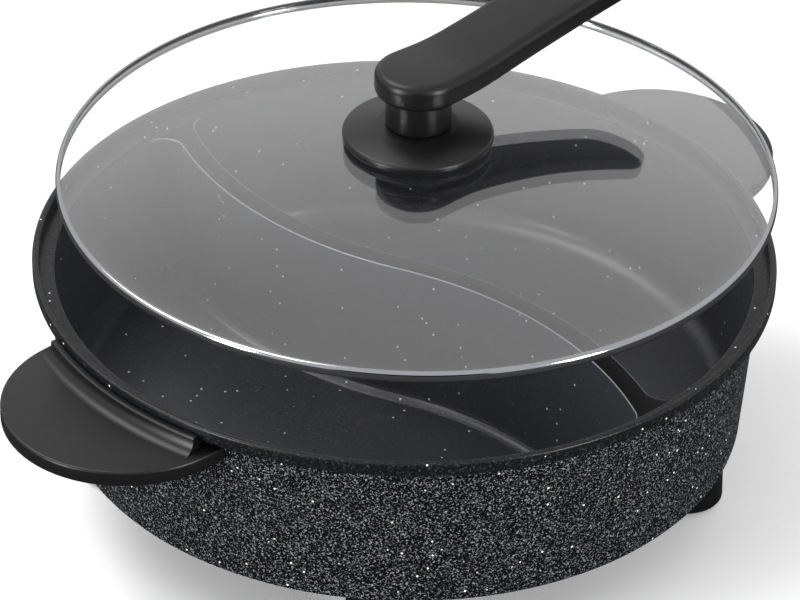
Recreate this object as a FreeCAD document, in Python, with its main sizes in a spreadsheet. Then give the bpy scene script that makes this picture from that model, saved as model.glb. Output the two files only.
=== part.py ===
import FreeCAD, Part
import math
import os
from types import SimpleNamespace

import Sketcher

# Electric hot pot with a divided pot and a glass lid, in millimetres.
# The origin is on the table under the middle of the pot, with +Z up.
# +X runs through one side handle and the arm of the lid.
# +Y points at the power inlet, which sits under the back of the pot.
# The lid is lifted off its seat by lid_lift and a little to one side, as it is shown.
# Its pieces are drawn round the pot's axis and moved to their place last.

SIZES = {
    # Pot casting
    "foot_height": 45,
    "pot_height": 79,
    "rim_radius": 160,
    "rim_land": 3,
    "rim_band": 6,
    "seat_depth": 5.5,
    "seat_width": 6.7,
    "flange_thickness": 3,
    "wall_thickness": 3,
    "wall_draft_angle": 4,
    "floor_thickness": 4,
    "outer_corner": 3.5,
    "inner_corner": 10,
    "rim_rounding": 1,
    # Dividing wall
    "divider_drop": 2.5,
    "divider_bow": 17.5,
    "divider_top_thickness": 4,
    "divider_root_thickness": 7,
    "divider_blend": 9,
    # Feet
    "foot_inset": 22,
    "foot_top_radius": 15.8,
    "foot_bottom_radius": 17.4,
    "foot_rounding": 1.5,
    "foot_boss_radius": 6,
    "foot_boss_height": 8,
    "foot_web": 8,
    "pad_radius": 13,
    "pad_thickness": 4,
    "pad_showing": 1.5,
    "foot_screw_radius": 2.5,
    "foot_screw_head_radius": 4.8,
    "foot_screw_head_height": 3.5,
    "foot_screw_clearance": 1.2,
    "foot_screw_reach": 6,
    # Side handles
    "handle_overhang": 46,
    "handle_half_width": 52,
    "handle_root": 14,
    "handle_drop": 10,
    "handle_thickness": 7,
    "handle_rounding": 1.2,
    "collar_angle": 33,
    "collar_thickness": 3.2,
    "collar_drop": 3.5,
    "collar_blend": 5.5,
    "collar_root": 0.8,
    "lug_width": 44,
    "lug_reach": 20,
    "lug_thickness": 3,
    "lug_embedment": 2.4,
    "lug_screw_offset": 12,
    "lug_screw_spacing": 26,
    "handle_screw_radius": 2,
    "handle_screw_head_radius": 4,
    "handle_screw_head_height": 2.4,
    "handle_screw_reach": 2.6,
    # Heating element and its cover
    "element_circle": 94,
    "element_radius": 4,
    "element_drop": 7,
    "element_bend": 16,
    "bead_width": 20,
    "bead_height": 9,
    "bead_gap_width": 84,
    "cover_radius": 107,
    "cover_thickness": 1.2,
    "cover_boss_circle": 68,
    "cover_boss_radius": 5.5,
    "cover_screw_radius": 1.5,
    "cover_screw_head_radius": 3.2,
    "cover_screw_head_height": 2,
    "cover_screw_reach": 7,
    "cover_notch_width": 66,
    # Power inlet
    "pin_spacing": 44,
    "pin_radius": 2.5,
    "pin_shank_radius": 2,
    "pin_showing": 13,
    "insulator_radius": 4.5,
    "sleeve_radius": 4,
    "sleeve_bore": 3,
    "sleeve_length": 70,
    "probe_rib_width": 15,
    "probe_rib_start": 64,
    "probe_rib_end": 109,
    "inlet_back": 112,
    "inlet_front": 143,
    "inlet_block": 14,
    "inlet_width": 80,
    "inlet_height": 18,
    "inlet_wall": 3,
    "inlet_screw_spacing": 67,
    "inlet_boss_radius": 4,
    "inlet_boss_height": 6,
    "inlet_screw_radius": 1.5,
    "inlet_screw_head_radius": 3.2,
    "inlet_screw_head_height": 2,
    # Lid
    "lid_lift": 40.5,
    "lid_shift_x": 3.3,
    "lid_shift_y": -3.05,
    "ring_clearance": 3.4,
    "ring_height": 4.8,
    "ring_lip": 2,
    "ring_sheet": 0.5,
    "glass_thickness": 3.2,
    "glass_crown": 17.4,
    "glass_flat": 3.8,
    "glass_hole_radius": 4,
    "vent_circle": 93,
    "vent_azimuth": 23,
    "vent_barrel_radius": 3.7,
    "vent_bore_radius": 2.4,
    "vent_flange_radius": 6,
    "vent_flange_thickness": 0.6,
    "vent_cutter_length": 9.6,
    # Knob, neck and arm of the lid
    "seal_radius": 20,
    "seal_thickness": 1.5,
    "disc_radius": 32.2,
    "disc_edge": 3.4,
    "disc_shoulder": 17,
    "disc_hub": 7,
    "neck_radius": 14,
    "neck_height": 15.1,
    "neck_groove": 0.8,
    "arm_end_radius": 19,
    "arm_waist": 17.2,
    "arm_span": 135.5,
    "arm_thickness": 11.8,
    "arm_level": 10,
    "arm_bend": 120,
    "arm_rise_angle": 9,
    "arm_top_rounding": 4,
    "arm_bottom_rounding": 3,
    "arm_blank_width": 76,
    "knob_screw_radius": 2.5,
    "knob_screw_head_radius": 5,
    "knob_screw_head_height": 3.2,
    "knob_screw_reach": 7,
    "washer_radius": 11,
    "washer_thickness": 1.2,
    # Clearances
    "gap": 0.3,
    "close_fit": 0.1,
}


class Size:
    """A number together with the sheet formula that it comes from."""

    def __init__(self, number, formula):
        self.number = number
        self.formula = formula

    def __add__(self, other):
        other = as_size(other)
        return Size(self.number + other.number, f"({self.formula} + {other.formula})")

    def __sub__(self, other):
        other = as_size(other)
        return Size(self.number - other.number, f"({self.formula} - {other.formula})")

    def __mul__(self, other):
        other = as_size(other)
        return Size(self.number * other.number, f"({self.formula} * {other.formula})")

    def __truediv__(self, other):
        other = as_size(other)
        return Size(self.number / other.number, f"({self.formula} / {other.formula})")

    def __neg__(self):
        return Size(-self.number, f"(0 - {self.formula})")

    def __radd__(self, other):
        return as_size(other) + self

    def __rmul__(self, other):
        return as_size(other) * self

    def __rsub__(self, other):
        return as_size(other) - self


def as_size(value):
    """Return a size as it is and a plain number as a size."""
    if isinstance(value, Size):
        return value
    return Size(float(value), f"{float(value):.9f}")


def root(size):
    """Return the square root of a size."""
    return Size(math.sqrt(size.number), f"sqrt({size.formula})")


def sine(degrees):
    """Return the sine of an angle in degrees."""
    degrees = as_size(degrees)
    return Size(math.sin(math.radians(degrees.number)), f"sin({degrees.formula} * 1deg)")


def cosine(degrees):
    """Return the cosine of an angle in degrees."""
    degrees = as_size(degrees)
    return Size(math.cos(math.radians(degrees.number)), f"cos({degrees.formula} * 1deg)")


def tangent(degrees):
    """Return the tangent of an angle in degrees."""
    return sine(degrees) / cosine(degrees)


doc = FreeCAD.newDocument("HotPot")
sheet = doc.addObject("Spreadsheet::Sheet", "Sizes")
for row, (alias, value) in enumerate(SIZES.items(), start=1):
    sheet.set(f"A{row}", str(value))
    sheet.setAlias(f"A{row}", alias)
doc.recompute()
size = SimpleNamespace(**{alias: Size(float(value), f"Sizes.{alias}") for alias, value in SIZES.items()})

# Levels and radii that several pieces share
under = size.foot_height
rim_top = under + size.pot_height
seat_level = rim_top - size.seat_depth
seat_radius = size.rim_radius - size.rim_land
inner_top = seat_radius - size.seat_width
outer_top = inner_top + size.wall_thickness
shoulder_level = seat_level - size.flange_thickness
floor_level = under + size.floor_thickness
draft = tangent(size.wall_draft_angle)
inner_base = inner_top - draft * (seat_level - floor_level)
outer_base = outer_top - draft * (shoulder_level - under)
divider_top = seat_level - size.divider_drop
foot_circle = outer_base - size.foot_inset
handle_reach = size.rim_radius + size.handle_overhang
element_level = under - size.element_drop
ring_radius = seat_radius - size.ring_clearance
lid_level = seat_level + size.lid_lift
glass_level = lid_level + size.ring_sheet + size.gap
crown_level = glass_level + size.glass_thickness + size.glass_crown


def bind(item, values):
    """Bind properties of an item to the sheet."""
    for name, value in values.items():
        item.setExpression(name, as_size(value).formula)
    return item


def place(item, x=0, y=0, z=0):
    """Put an item's placement at a point that is bound to the sheet."""
    return bind(item, {
        "Placement.Base.x": x,
        "Placement.Base.y": y,
        "Placement.Base.z": z,
    })


def new_item(kind, name):
    """Add one object to the document under the name that it keeps as its label."""
    item = doc.addObject(kind, name)
    item.Label = name
    return item


def cylinder(name, radius, height, x=0, y=0, z=0, axis="Z"):
    """Make a round bar that runs from a point along +Z or +Y."""
    item = bind(new_item("Part::Cylinder", name), {"Radius": radius, "Height": height})
    if axis == "Y":
        item.Placement.Rotation = FreeCAD.Rotation(FreeCAD.Vector(1, 0, 0), -90)
    return place(item, x, y, z)


def box(name, length, width, height, x=0, y=0, z=0):
    """Make a block that is centred on x and starts at y and z."""
    item = bind(new_item("Part::Box", name), {"Length": length, "Width": width, "Height": height})
    return place(item, as_size(x) - as_size(length) / 2, y, z)


def fuse(name, items):
    """Join solids into one."""
    item = new_item("Part::MultiFuse", name)
    item.Shapes = items
    item.Refine = True
    return item


def common(name, items):
    """Keep what solids share."""
    item = new_item("Part::MultiCommon", name)
    item.Shapes = items
    return item


def cut(name, base, tools):
    """Take tools away from a solid."""
    item = new_item("Part::Cut", name)
    item.Base = base
    item.Tool = tools[0] if len(tools) == 1 else fuse(name + "_tools", tools)
    item.Refine = True
    return item


def group(name, items):
    """Keep several alike solids together as one sub-part."""
    item = new_item("Part::Compound", name)
    item.Links = items
    return item


def outline(sketch, corners, bends=None, closed=True):
    """Draw an outline in a sketch, with every corner bound to the sheet.

    bends maps the number of an edge to the centre of the arc that it follows.
    """
    bends = bends or {}
    corners = [(as_size(x), as_size(y)) for x, y in corners]
    spots = [FreeCAD.Vector(x.number, y.number, 0) for x, y in corners]
    ends = []
    for index, start in enumerate(spots if closed else spots[:-1]):
        end = spots[(index + 1) % len(spots)]
        if index not in bends:
            sketch.addGeometry(Part.LineSegment(start, end), False)
            ends.append((1, 2))
            continue
        centre_x, centre_y = (as_size(part) for part in bends[index])
        centre = FreeCAD.Vector(centre_x.number, centre_y.number, 0)
        angles = [math.atan2(spot.y - centre.y, spot.x - centre.x) for spot in (start, end)]
        forward = (start - centre).cross(end - centre).z > 0
        circle = Part.Circle(centre, FreeCAD.Vector(0, 0, 1), (start - centre).Length)
        first, last = angles if forward else reversed(angles)
        sketch.addGeometry(Part.ArcOfCircle(circle, first, last), False)
        ends.append((1, 2) if forward else (2, 1))
    for index, (x, y) in enumerate(corners):
        edge, end = (index, ends[index][0]) if index < len(ends) else (index - 1, ends[-1][1])
        if index > 0 or closed:
            before = (index - 1) % len(corners)
            if edge != before:
                sketch.addConstraint(
                    Sketcher.Constraint("Coincident", before, ends[before][1], edge, end))
        for kind, part in (("DistanceX", x), ("DistanceY", y)):
            number = sketch.addConstraint(
                Sketcher.Constraint(kind, -1, 1, edge, end, part.number))
            sketch.setExpression(f"Constraints[{number}]", part.formula)
        if index in bends:
            centre_x, centre_y = (as_size(part) for part in bends[index])
            radius = root((x - centre_x) * (x - centre_x) + (y - centre_y) * (y - centre_y))
            number = sketch.addConstraint(Sketcher.Constraint("Radius", index, radius.number))
            sketch.setExpression(f"Constraints[{number}]", radius.formula)
    return sketch


def turned(name, corners, bends=None):
    """Make a body by turning a profile of radii and heights about the Z axis."""
    body = new_item("PartDesign::Body", name)
    sketch = body.newObject("Sketcher::SketchObject", name + "_profile")
    plane = next(item for item in body.Origin.OriginFeatures if item.Role == "XZ_Plane")
    sketch.AttachmentSupport = [(plane, "")]
    sketch.MapMode = "FlatFace"
    outline(sketch, corners, bends)
    feature = body.newObject("PartDesign::Revolution", name + "_turning")
    feature.Profile = sketch
    feature.ReferenceAxis = (sketch, ["V_Axis"])
    feature.Angle = 360
    doc.recompute()
    return body


def round_edges(body, name, radius, spots):
    """Round the ring edges of a turned body that lie at the given radii and heights."""
    base = body.Tip
    names = []
    for number, edge in enumerate(base.Shape.Edges, start=1):
        if edge.Curve.TypeId != "Part::GeomCircle":
            continue
        centre = edge.Curve.Center
        for ring_radius, height in spots:
            near_radius = abs(edge.Curve.Radius - as_size(ring_radius).number) < 0.01
            if near_radius and abs(centre.z - as_size(height).number) < 0.01:
                names.append(f"Edge{number}")
    fillet = body.newObject("PartDesign::Fillet", name)
    fillet.Base = (base, names)
    bind(fillet, {"Radius": radius})
    doc.recompute()
    return body


def flat_sketch(name, level, corners, bends=None):
    """Draw an outline in a level plane."""
    sketch = new_item("Sketcher::SketchObject", name)
    outline(sketch, corners, bends)
    return place(sketch, 0, 0, level)


def screw(name, x, y, seat, head_radius, head_height, shank_radius, shank_length):
    """Make a pan head screw whose head hangs under its seat and whose shank points up."""
    head = cylinder(name + "_head", head_radius, head_height, x, y, seat - head_height)
    shank = cylinder(name + "_shank", shank_radius, shank_length, x, y, seat)
    return fuse(name, [head, shank])


def divider_outline(name, level, thickness, wall_radius):
    """Draw the dividing wall's plan: an S of two arcs that flares into the round wall."""
    half = thickness / 2
    reach = inner_top
    bow = size.divider_bow
    blend = size.divider_blend
    bend = (reach * reach / 4 + bow * bow) / (2 * bow)
    upper = (bend - bow, reach / 2)
    unit_x, unit_y = upper[0] / bend, upper[1] / bend
    fillet_orbit = wall_radius - blend
    outward = (wall_radius + size.wall_thickness / 2) / wall_radius

    def flare(side_radius, centre_distance):
        """Return the fillet's centre, its end on the divider and its end on the wall."""
        along = (fillet_orbit * fillet_orbit - centre_distance * centre_distance
                 + bend * bend) / (2 * bend)
        across = root(fillet_orbit * fillet_orbit - along * along)
        centre = (along * unit_x - across * unit_y, along * unit_y + across * unit_x)
        share = side_radius / centre_distance
        on_side = tuple(upper[i] + (centre[i] - upper[i]) * share for i in (0, 1))
        on_wall = tuple(centre[i] * (wall_radius / fillet_orbit) for i in (0, 1))
        return centre, on_side, on_wall

    def turned_over(spot):
        """Return the point on the other side of the pot's axis."""
        return (-spot[0], -spot[1])

    def pushed_out(spot):
        """Return a point of the wall's inner face moved into the wall."""
        return (spot[0] * outward, spot[1] * outward)

    left_centre, left_side, left_wall = flare(bend + half, bend + half + blend)
    right_centre, right_side, right_wall = flare(bend - half, bend - half - blend)
    middle_right = (half * unit_x, half * unit_y)
    first_half = [
        (pushed_out(left_wall), None),
        (left_wall, left_centre),
        (left_side, upper),
        (turned_over(middle_right), turned_over(upper)),
        (turned_over(right_side), turned_over(right_centre)),
        (turned_over(right_wall), None),
        (pushed_out(turned_over(right_wall)), None),
    ]
    second_half = [
        (turned_over(spot), turned_over(centre) if centre else None)
        for spot, centre in first_half
    ]
    spots = first_half + second_half
    bends = {number: centre for number, (_, centre) in enumerate(spots) if centre}
    return flat_sketch(name, level, [spot for spot, _ in spots], bends)


def corner_points(count, radius, first_angle):
    """Return points spaced evenly round the axis."""
    return [
        (radius * cosine(first_angle + 360 / count * number),
         radius * sine(first_angle + 360 / count * number))
        for number in range(count)
    ]


# Pot casting: the turned bowl, the S-shaped dividing wall and what is cast under the floor
bowl = turned("bowl", [
    (0, under),
    (outer_base, under),
    (outer_top, shoulder_level),
    (size.rim_radius, rim_top - size.rim_band),
    (size.rim_radius, rim_top),
    (seat_radius, rim_top),
    (seat_radius, seat_level),
    (inner_top, seat_level),
    (inner_base, floor_level),
    (0, floor_level),
])
round_edges(bowl, "bowl_outer_corner", size.outer_corner, [(outer_base, under)])
round_edges(bowl, "bowl_inner_corner", size.inner_corner, [(inner_base, floor_level)])
round_edges(bowl, "bowl_rim", size.rim_rounding, [
    (size.rim_radius, rim_top),
    (size.rim_radius, rim_top - size.rim_band),
    (seat_radius, rim_top),
    (inner_top, seat_level),
])

mid_floor = under + size.floor_thickness / 2
divider_blank = new_item("Part::Loft", "divider_blank")
divider_blank.Sections = [
    divider_outline("divider_root_outline", mid_floor, size.divider_root_thickness, inner_top),
    divider_outline("divider_top_outline", divider_top, size.divider_top_thickness, inner_top),
]
divider_blank.Solid = True
divider_blank.Ruled = True
mid_wall = size.wall_thickness / 2
divider_trim = bind(new_item("Part::Cone", "divider_trim"), {
    "Radius1": inner_base - draft * (floor_level - mid_floor) + mid_wall,
    "Radius2": inner_top - draft * size.divider_drop + mid_wall,
    "Height": divider_top - mid_floor,
})
place(divider_trim, 0, 0, mid_floor)
divider = common("divider", [divider_blank, divider_trim])

bead_start = size.element_circle - size.bead_width / 2
bead_blank = cut("bead_blank", cylinder(
    "bead_outside", bead_start + size.bead_width, size.bead_height, 0, 0, under - size.bead_height,
), [cylinder("bead_inside", bead_start, size.bead_height, 0, 0, under - size.bead_height)])
bead = cut("bead", bead_blank, [box(
    "bead_gap", size.bead_gap_width, size.element_circle, size.bead_height,
    0, size.element_circle / 2, under - size.bead_height)])

foot_points = corner_points(4, foot_circle, 45)
foot_boss_level = under - size.foot_boss_height
cover_points = corner_points(4, size.cover_boss_circle, 45)
cover_top = element_level - size.element_radius - size.gap
cover_boss_height = under - cover_top
inlet_screw_points = [(size.inlet_screw_spacing / 2 * side, size.inlet_back + size.inlet_block / 2)
                      for side in (-1, 1)]
probe_rib_height = size.element_drop + size.sleeve_radius + size.inlet_wall
lug_level = rim_top - size.handle_drop - size.handle_thickness
lug_hole_x = outer_top + size.lug_screw_offset
handle_screw_points = [(lug_hole_x, size.lug_screw_spacing / 2 * side) for side in (-1, 1)]
lug_root = outer_top - size.lug_embedment

pot_parts = [bowl, divider, bead]
for number, (x, y) in enumerate(foot_points, start=1):
    pot_parts.append(cylinder(
        f"foot_boss_{number}", size.foot_boss_radius, size.foot_boss_height, x, y, foot_boss_level))
for number, (x, y) in enumerate(cover_points, start=1):
    pot_parts.append(cylinder(
        f"cover_boss_{number}", size.cover_boss_radius, cover_boss_height, x, y, cover_top))
for number, (x, y) in enumerate(inlet_screw_points, start=1):
    pot_parts.append(cylinder(
        f"inlet_boss_{number}", size.inlet_boss_radius, size.inlet_boss_height,
        x, y, under - size.inlet_boss_height))
pot_parts.append(box(
    "probe_rib", size.probe_rib_width, size.probe_rib_end - size.probe_rib_start, probe_rib_height,
    0, size.probe_rib_start, under - probe_rib_height))
for side, way in (("left", -1), ("right", 1)):
    pot_parts.append(box(
        f"handle_lug_{side}", size.lug_reach + outer_top - lug_root, size.lug_width,
        size.lug_thickness, (lug_root + outer_top + size.lug_reach) / 2 * way,
        -size.lug_width / 2, lug_level))
pot_blank = fuse("pot_blank", pot_parts)

element_channel = bind(new_item("Part::Torus", "element_channel"), {
    "Radius1": size.element_circle,
    "Radius2": size.element_radius + size.close_fit,
})
place(element_channel, 0, 0, element_level)
channel_start = size.element_circle - size.element_radius - size.close_fit
channel_width = (size.element_radius + size.close_fit) * 2
channel_depth = size.bead_height - size.element_drop
channel_mouth = cut("channel_mouth", cylinder(
    "channel_outside", channel_start + channel_width, channel_depth, 0, 0, under - size.bead_height,
), [cylinder("channel_inside", channel_start, channel_depth, 0, 0, under - size.bead_height)])
pot_cuts = [element_channel, channel_mouth]
for number, (x, y) in enumerate(foot_points, start=1):
    pot_cuts.append(cylinder(
        f"foot_boss_hole_{number}", size.foot_screw_radius + size.close_fit / 2,
        size.foot_screw_reach + size.gap, x, y, foot_boss_level))
for number, (x, y) in enumerate(cover_points, start=1):
    pot_cuts.append(cylinder(
        f"cover_boss_hole_{number}", size.cover_screw_radius + size.close_fit / 2,
        size.cover_screw_reach + size.gap, x, y, cover_top))
for number, (x, y) in enumerate(inlet_screw_points, start=1):
    pot_cuts.append(cylinder(
        f"inlet_boss_hole_{number}", size.inlet_screw_radius + size.close_fit / 2,
        size.inlet_boss_height, x, y, under - size.inlet_boss_height))
pot_cuts.append(cylinder(
    "probe_bore", size.sleeve_radius + size.close_fit / 2,
    size.sleeve_length, 0, size.inlet_back + size.inlet_block - size.sleeve_length,
    element_level, axis="Y"))
for way in (-1, 1):
    for number, (x, y) in enumerate(handle_screw_points, start=1):
        pot_cuts.append(cylinder(
            f"lug_hole_{number}_{'left' if way < 0 else 'right'}",
            size.handle_screw_radius + size.close_fit / 2, size.lug_thickness, x * way, y, lug_level))
pot_body = cut("pot_body", pot_blank, pot_cuts)


# Feet: a tapered moulding with a rubber pad below and a screw up the middle
foot_names = ("back_right", "back_left", "front_left", "front_right")
foot_base = size.pad_showing
recess_level = size.pad_thickness
web_level = foot_boss_level - size.gap - size.foot_web
bore_radius = size.foot_screw_head_radius + size.foot_screw_clearance
feet = []
for (x, y), corner in zip(foot_points, foot_names):
    foot = turned(f"foot_{corner}", [
        (size.foot_screw_radius + size.gap, web_level),
        (bore_radius, web_level),
        (bore_radius, recess_level),
        (size.pad_radius + size.gap, recess_level),
        (size.pad_radius + size.gap, foot_base),
        (size.foot_bottom_radius, foot_base),
        (size.foot_top_radius, under),
        (size.foot_boss_radius + size.gap, under),
        (size.foot_boss_radius + size.gap, foot_boss_level - size.gap),
        (size.foot_screw_radius + size.gap, foot_boss_level - size.gap),
    ])
    round_edges(foot, f"foot_rounding_{corner}", size.foot_rounding, [
        (size.foot_bottom_radius, foot_base)])
    feet.append(place(foot, x, y, 0))
foot_pads = group("foot_pads", [
    cylinder(f"foot_pad_{corner}", size.pad_radius, size.pad_thickness, x, y, 0)
    for (x, y), corner in zip(foot_points, foot_names)])
foot_screws = group("foot_screws", [
    screw(f"foot_screw_{corner}", x, y, web_level, size.foot_screw_head_radius,
          size.foot_screw_head_height, size.foot_screw_radius,
          foot_boss_level - web_level + size.foot_screw_reach)
    for (x, y), corner in zip(foot_points, foot_names)])


def handle(side, turn):
    """Make a side handle: an oval plate, its collar round the rim and its lug pocket."""
    top = rim_top - size.handle_drop
    nose_x = handle_reach - size.handle_half_width
    inside_x = nose_x - size.handle_root
    oval = flat_sketch(f"plate_outline_{side}", lug_level, [
        (inside_x, -size.handle_half_width),
        (nose_x, -size.handle_half_width),
        (handle_reach, 0),
        (nose_x, size.handle_half_width),
        (inside_x, size.handle_half_width),
    ], {1: (nose_x, 0), 2: (nose_x, 0)})
    plate = new_item("Part::Extrusion", f"plate_{side}")
    plate.Base = oval
    plate.Dir = FreeCAD.Vector(0, 0, 1)
    plate.Solid = True
    bind(plate, {"LengthFwd": size.handle_thickness})
    doc.recompute()
    rounded = new_item("Part::Fillet", f"plate_rounded_{side}")
    rounded.Base = plate
    rounded.Edges = [
        (number, size.handle_rounding.number, size.handle_rounding.number)
        for number, edge in enumerate(plate.Shape.Edges, start=1)
        if edge.Curve.TypeId == "Part::GeomCircle"
        or abs(edge.CenterOfMass.x - (nose_x.number + inside_x.number) / 2) < 0.01
    ]
    collar_outline = new_item("Sketcher::SketchObject", f"collar_outline_{side}")
    inner = size.rim_radius + size.gap
    outer = inner + size.collar_thickness
    collar_top = rim_top - size.collar_drop
    blend_centre = (outer + size.collar_blend, top + size.collar_blend)
    root_radius = outer_top + size.gap
    outline(collar_outline, [
        (inner, collar_top),
        (outer, collar_top),
        (outer, top + size.collar_blend),
        (outer + size.collar_blend, top),
        (outer + size.collar_blend, top - size.collar_root),
        (root_radius, top - size.collar_root),
        (root_radius, shoulder_level - size.gap),
        (inner, rim_top - size.rim_band - size.gap),
    ], {2: blend_centre})
    collar_outline.Placement.Rotation = FreeCAD.Rotation(FreeCAD.Vector(1, 0, 0), 90)
    collar = new_item("Part::Revolution", f"collar_{side}")
    collar.Source = collar_outline
    collar.Axis = FreeCAD.Vector(0, 0, 1)
    collar.Solid = True
    collar.Symmetric = True
    bind(collar, {"Angle": size.collar_angle})
    pocket_end = outer_top + size.lug_reach + size.gap
    pocket = box(
        f"lug_pocket_{side}", pocket_end - lug_root, size.lug_width + size.gap * 2,
        size.lug_thickness + size.gap * 2, (lug_root + pocket_end) / 2,
        -size.lug_width / 2 - size.gap, lug_level - size.gap)
    plate_clear = cylinder(
        f"plate_clear_{side}", root_radius, size.handle_thickness + size.gap * 2,
        0, 0, lug_level - size.gap)
    holes = [cylinder(
        f"handle_hole_{side}_{number}", size.handle_screw_radius + size.close_fit / 2,
        size.lug_thickness + size.handle_screw_reach + size.gap, x, y, lug_level - size.gap / 2,
    ) for number, (x, y) in enumerate(handle_screw_points, start=1)]
    solid = fuse(f"handle_{side}", [
        cut(f"plate_open_{side}", rounded, [plate_clear, pocket] + holes), collar])
    solid.Placement.Rotation = FreeCAD.Rotation(FreeCAD.Vector(0, 0, 1), turn)
    return solid


handles = [handle("right", 0), handle("left", 180)]
handle_screws = [group(f"handle_screws_{side}", [
    screw(f"handle_screw_{side}_{number}", x * way, y, lug_level,
          size.handle_screw_head_radius, size.handle_screw_head_height,
          size.handle_screw_radius, size.lug_thickness + size.handle_screw_reach)
    for number, (x, y) in enumerate(handle_screw_points, start=1)
]) for side, way in (("right", 1), ("left", -1))]


# Heating element: an open ring whose two ends turn outward to the power inlet
pin_x = size.pin_spacing / 2
bend_x = pin_x + size.element_bend
bend_orbit = size.element_circle + size.element_bend
bend_y = root(bend_orbit * bend_orbit - bend_x * bend_x)
element_end = size.inlet_back - size.gap
on_ring = (bend_x * size.element_circle / bend_orbit, bend_y * size.element_circle / bend_orbit)
element_path = new_item("Sketcher::SketchObject", "element_path")
outline(element_path, [
    (pin_x, element_end),
    (pin_x, bend_y),
    on_ring,
    (0, -size.element_circle),
    (-on_ring[0], on_ring[1]),
    (-pin_x, bend_y),
    (-pin_x, element_end),
], {1: (bend_x, bend_y), 2: (0, 0), 3: (0, 0), 4: (-bend_x, bend_y)}, closed=False)
place(element_path, 0, 0, element_level)
element_section = bind(new_item("Part::Circle", "element_section"), {"Radius": size.element_radius})
element_section.Placement.Rotation = FreeCAD.Rotation(FreeCAD.Vector(1, 0, 0), 90)
place(element_section, pin_x, element_end, element_level)
doc.recompute()
heating_element = new_item("Part::Sweep", "heating_element")
heating_element.Sections = [element_section]
heating_element.Spine = (
    element_path, [f"Edge{number}" for number in range(1, len(element_path.Shape.Edges) + 1)])
heating_element.Solid = True

# Cover of the element: a shallow steel pan, notched where the element and the probe leave it
cover_bottom = cover_top - size.cover_thickness
cover_side = size.cover_radius - size.cover_thickness
cover_pan = turned("cover_pan", [
    (0, cover_bottom),
    (size.cover_radius, cover_bottom),
    (size.cover_radius, under - size.gap),
    (cover_side, under - size.gap),
    (cover_side, cover_top),
    (0, cover_top),
])
notch_start = bend_y - size.element_bend - size.element_radius
cover_cuts = [
    box("cover_notch", size.cover_notch_width, size.cover_radius, size.foot_height,
        0, notch_start, 0),
    box("cover_slot", size.probe_rib_width + size.gap * 2, size.cover_radius, size.foot_height,
        0, size.probe_rib_start - size.gap, 0),
]
for number, (x, y) in enumerate(cover_points, start=1):
    cover_cuts.append(cylinder(
        f"cover_hole_{number}", size.cover_screw_radius + size.gap, size.cover_thickness,
        x, y, cover_bottom))
element_cover = cut("element_cover", cover_pan, cover_cuts)
cover_screws = group("cover_screws", [
    screw(f"cover_screw_{number}", x, y, cover_bottom, size.cover_screw_head_radius,
          size.cover_screw_head_height, size.cover_screw_radius,
          size.cover_thickness + size.cover_screw_reach)
    for number, (x, y) in enumerate(cover_points, start=1)])


# Power inlet: an open-topped housing under the floor, two pins and the probe's sleeve
inlet_bottom = under - size.inlet_height
inlet_depth = size.inlet_front - size.inlet_back
cavity_start = size.inlet_back + size.inlet_block
cavity_depth = size.inlet_front - cavity_start
inlet_cuts = [
    box("inlet_cavity", size.inlet_width - size.inlet_wall * 2, cavity_depth,
        size.inlet_height - size.inlet_wall, 0, cavity_start, inlet_bottom + size.inlet_wall),
    cylinder("sleeve_passage", size.sleeve_radius + size.gap, size.inlet_block,
             0, size.inlet_back, element_level, axis="Y"),
]
for side, way in (("left", -1), ("right", 1)):
    inlet_cuts.append(cylinder(
        f"insulator_seat_{side}", size.insulator_radius + size.gap, size.inlet_block,
        pin_x * way, size.inlet_back, element_level, axis="Y"))
for number, (x, y) in enumerate(inlet_screw_points, start=1):
    inlet_cuts.append(cylinder(
        f"inlet_boss_seat_{number}", size.inlet_boss_radius + size.gap,
        size.inlet_boss_height + size.gap, x, y, under - size.inlet_boss_height - size.gap))
    inlet_cuts.append(cylinder(
        f"inlet_screw_hole_{number}", size.inlet_screw_radius + size.gap,
        size.inlet_height, x, y, inlet_bottom))
inlet_housing = cut("inlet_housing", box(
    "inlet_block", size.inlet_width, inlet_depth, size.inlet_height, 0, size.inlet_back, inlet_bottom,
), inlet_cuts)
inlet_screws = group("inlet_screws", [
    screw(f"inlet_screw_{number}", x, y, inlet_bottom, size.inlet_screw_head_radius,
          size.inlet_screw_head_height, size.inlet_screw_radius, size.inlet_height - size.gap)
    for number, (x, y) in enumerate(inlet_screw_points, start=1)])
pin_shank_length = size.inlet_block + size.gap * 2
pin_start = element_end + pin_shank_length
pin_insulators = group("pin_insulators", [
    cut(f"pin_insulator_{side}", cylinder(
        f"insulator_bush_{side}", size.insulator_radius, size.inlet_block,
        pin_x * way, size.inlet_back, element_level, axis="Y",
    ), [cylinder(
        f"insulator_bore_{side}", size.pin_shank_radius + size.close_fit / 2, size.inlet_block,
        pin_x * way, size.inlet_back, element_level, axis="Y")])
    for side, way in (("left", -1), ("right", 1))])
inlet_pins = group("inlet_pins", [
    fuse(f"inlet_pin_{side}", [
        cylinder(f"pin_shank_{side}", size.pin_shank_radius, pin_shank_length,
                 pin_x * way, element_end, element_level, axis="Y"),
        cylinder(f"pin_contact_{side}", size.pin_radius, size.pin_showing - size.gap,
                 pin_x * way, pin_start, element_level, axis="Y"),
    ]) for side, way in (("left", -1), ("right", 1))])
sleeve_start = cavity_start - size.sleeve_length + size.gap
probe_sleeve = cut("probe_sleeve", cylinder(
    "sleeve_tube", size.sleeve_radius, size.sleeve_length, 0, sleeve_start, element_level, axis="Y",
), [cylinder(
    "sleeve_bore", size.sleeve_bore, size.sleeve_length - size.inlet_wall,
    0, sleeve_start + size.inlet_wall, element_level, axis="Y")])


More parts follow.
